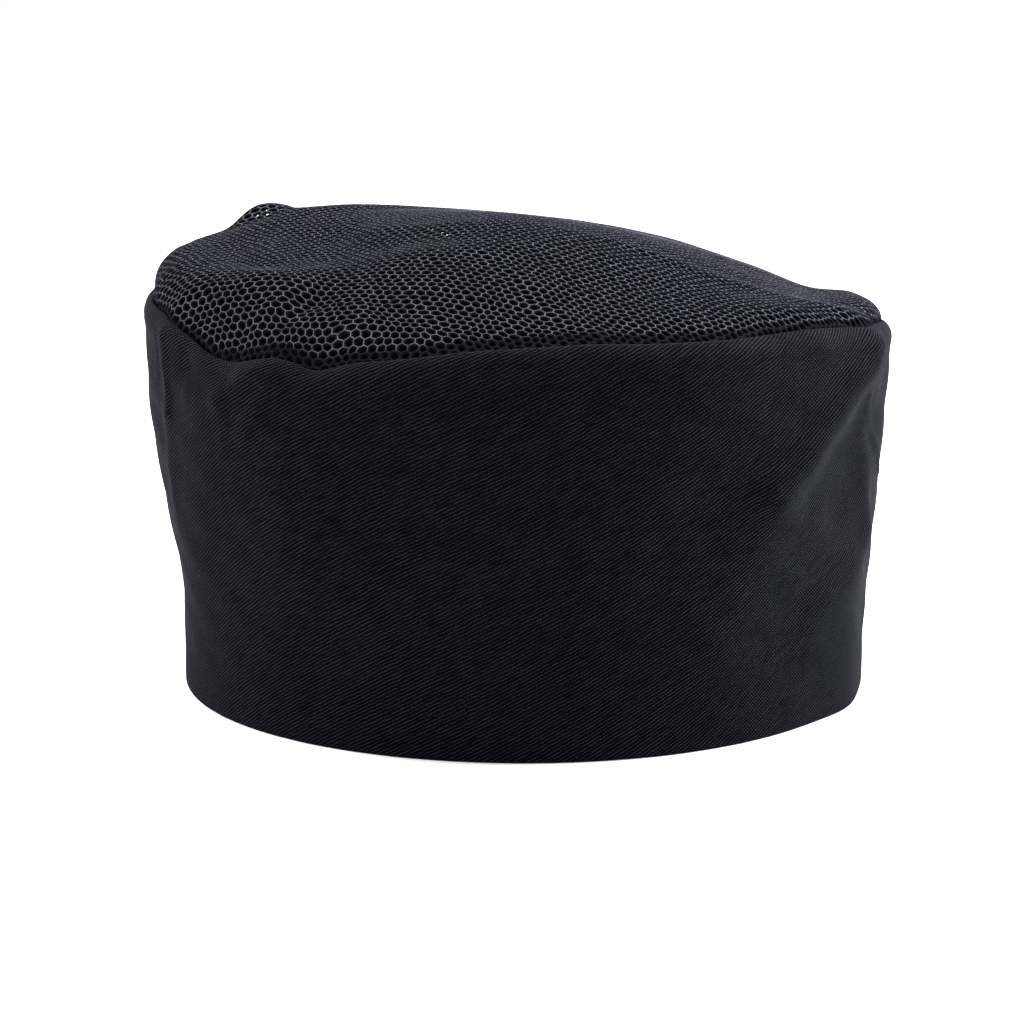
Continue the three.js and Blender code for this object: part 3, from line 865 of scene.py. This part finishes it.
def lay_on_skin(tree, geometry, given):
    """Moves the flat net on to the skin, with its yarn a little uneven, and keeps how much painted shade of
    the groove at the seam it takes.
    """
    place = tree.nodes.new("GeometryNodeInputPosition").outputs[0]
    level = calculate_vector(tree, "MULTIPLY", place, (1, 1, 0))
    flat_place = level
    for scale, reach in ((UNEVENNESS_SCALE, given["Unevenness"]), (DRIFT_SCALE, given["Drift"])):
        flat_place = calculate_vector(tree, "ADD", flat_place, stray(tree, level, scale, reach))
    skin_place = tree.nodes.new("GeometryNodeInputPosition").outputs[0]
    skin_normal = tree.nodes.new("GeometryNodeInputNormal").outputs[0]
    skin_painted_groove_shade = named_value(tree, "painted_groove_shade", "FLOAT")
    on_skin, _ = sample_skin(tree, given["Skin"], skin_place, flat_place, "FLOAT_VECTOR")
    outwards, _ = sample_skin(tree, given["Skin"], skin_normal, flat_place, "FLOAT_VECTOR")
    painted_groove_shade, _ = sample_skin(tree, given["Skin"], skin_painted_groove_shade, flat_place, "FLOAT")
    lift = scale_vector(tree, outwards, along_vector(tree, place, (0, 0, 1)))
    target = calculate_vector(tree, "ADD", on_skin, lift)
    shaded = add_node(tree, "GeometryNodeStoreNamedAttribute", {
        "Geometry": geometry, "Name": "painted_groove_shade", "Value": painted_groove_shade,
    }, data_type="FLOAT", domain="POINT").outputs[0]
    return add_node(tree, "GeometryNodeSetPosition", {"Geometry": shaded, "Position": target}).outputs[0]


def net_quarter(name, skin, tree, inputs):
    """One quarter of the net as a plain mesh of its own."""
    holder = new_object(name, skin)
    modifier = holder.modifiers.new("knit", "NODES")
    modifier.node_group = tree
    for item in tree.interface.items_tree:
        if item.in_out == "INPUT" and item.name in inputs:
            modifier[item.identifier] = inputs[item.name]
    evaluated = holder.evaluated_get(bpy.context.evaluated_depsgraph_get())
    mesh = bpy.data.meshes.new_from_object(evaluated)
    holder.modifiers.clear()
    holder.data = mesh
    mesh.name = name
    return holder


# Operators

class CAP_OT_band(bpy.types.Operator):
    """Makes the twill band: two plies folded at the rim, the top edge rolled in to the crown seam"""

    bl_idname = "cap.band"
    bl_label = "Twill band"

    def execute(self, context):
        settings = context.scene.cap_band
        band = new_object("twill_band_cloth", band_mesh(settings))
        band.data.materials.append(twill_material(settings))
        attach(band, BODY)
        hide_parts("twill_band")
        return {"FINISHED"}


class CAP_OT_crown(bpy.types.Operator):
    """Makes the soft crown of open net, in four quarters, tucked inside the band"""

    bl_idname = "cap.crown"
    bl_label = "Net crown"

    def execute(self, context):
        crown = context.scene.cap_crown
        skin = skin_mesh(context.scene.cap_band, crown)
        tree = net_tree(net_material(crown))
        sizes = {name: getattr(crown, key) for name, key in NET_INPUTS}
        for name, right, back in zip(*(NET_QUARTERS[column] for column in ("name", "right", "back"))):
            halves = {"Right Half": bool(right), "Back Half": bool(back)}
            flat_size = flat_extent(skin, right, back)
            quarter = net_quarter(str(name), skin, tree, {**sizes, **halves})
            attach(quarter, BODY)
            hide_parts("mesh_crown")
        return {"FINISHED"}


class CAP_OT_stage(bpy.types.Operator):
    """Sets up the pale floor, the soft lights and the camera"""

    bl_idname = "cap.stage"
    bl_label = "Stage"

    def execute(self, context):
        settings = context.scene.cap_stage
        context.scene.view_settings.view_transform = "Standard"
        self.add_floor(settings)
        self.add_lights(settings)
        self.add_camera(settings)
        return {"FINISHED"}

    def add_floor(self, settings):
        half = settings.floor_size / 2
        corners = np.array([(-half, -half, 0), (half, -half, 0), (half, half, 0), (-half, half, 0)])
        floor = new_object("floor", new_mesh("floor", corners, np.array([[0, 1, 2, 3]])))
        material, _, shader = new_material("floor_paper", Roughness=0.9)
        shader.inputs["Base Color"].default_value = settings.floor_colour
        shader.inputs["Specular IOR Level"].default_value = 0.0
        floor.data.materials.append(material)

    def add_lights(self, settings):
        world = bpy.data.worlds.new("studio")
        world.use_nodes = True
        world.node_tree.nodes["Background"].inputs["Color"].default_value = (1, 1, 1, 1)
        world.node_tree.nodes["Background"].inputs["Strength"].default_value = settings.surround
        bpy.context.scene.world = world
        lights = table("name x y z size power", [
            ("left_light", -0.9, 0.25, 0.45, 0.8, settings.left_power),
            ("right_light", 0.9, 0.25, 0.45, 0.8, settings.right_power),
            ("top_light", -0.1, 0.3, 1.0, 0.9, settings.top_power),
        ])
        for name, x, y, z, size, power in zip(*lights.values()):
            data = bpy.data.lights.new(str(name), "AREA")
            data.size, data.energy = size, power
            light = new_object(str(name), data)
            light.location = (x, y, z)
            aim = np.array([0, 0, LIGHT_AIM_HEIGHT]) - np.array([x, y, z])
            across = math.hypot(aim[0], aim[1])
            light.rotation_euler = (math.atan2(across, -aim[2]), 0, math.atan2(aim[1], aim[0]) - math.pi / 2)

    def add_camera(self, settings):
        data = bpy.data.cameras.new("camera")
        data.lens, data.sensor_width = settings.lens, SENSOR_WIDTH
        data.clip_end = settings.floor_size
        camera = new_object("camera", data)
        camera.location = (settings.camera_x, -settings.camera_distance, settings.camera_height)
        camera.rotation_euler = (math.pi / 2 - settings.camera_tilt, 0, 0)
        bpy.context.scene.camera = camera


class CAP_PT_panel(bpy.types.Panel):
    """Lists the cap's pieces and their sizes"""

    bl_idname = "CAP_PT_panel"
    bl_label = "Cook's cap"
    bl_space_type = "VIEW_3D"
    bl_region_type = "UI"
    bl_category = "Cap"

    def draw(self, context):
        groups = (("cap.band", "cap_band"), ("cap.crown", "cap_crown"), ("cap.stage", "cap_stage"))
        for operator, settings_name in groups:
            settings = getattr(context.scene, settings_name)
            column = self.layout.column()
            column.operator(operator)
            for name in settings.__annotations__:
                column.prop(settings, name)


SETTINGS = {"cap_band": BandSettings, "cap_crown": CrownSettings, "cap_stage": StageSettings}
CLASSES = [*SETTINGS.values(), CAP_OT_band, CAP_OT_crown, CAP_OT_stage, CAP_PT_panel]


def register():
    for made in CLASSES:
        bpy.utils.register_class(made)
    for name, group in SETTINGS.items():
        setattr(bpy.types.Scene, name, bpy.props.PointerProperty(type=group))


def unregister():
    for name in SETTINGS:
        delattr(bpy.types.Scene, name)
    for made in reversed(CLASSES):
        bpy.utils.unregister_class(made)


def main():
    register()
    bpy.ops.cap.stage()
    bpy.ops.cap.band()
    bpy.ops.cap.crown()
    bpy.context.view_layer.update()


if __name__ == "__main__":
    main()
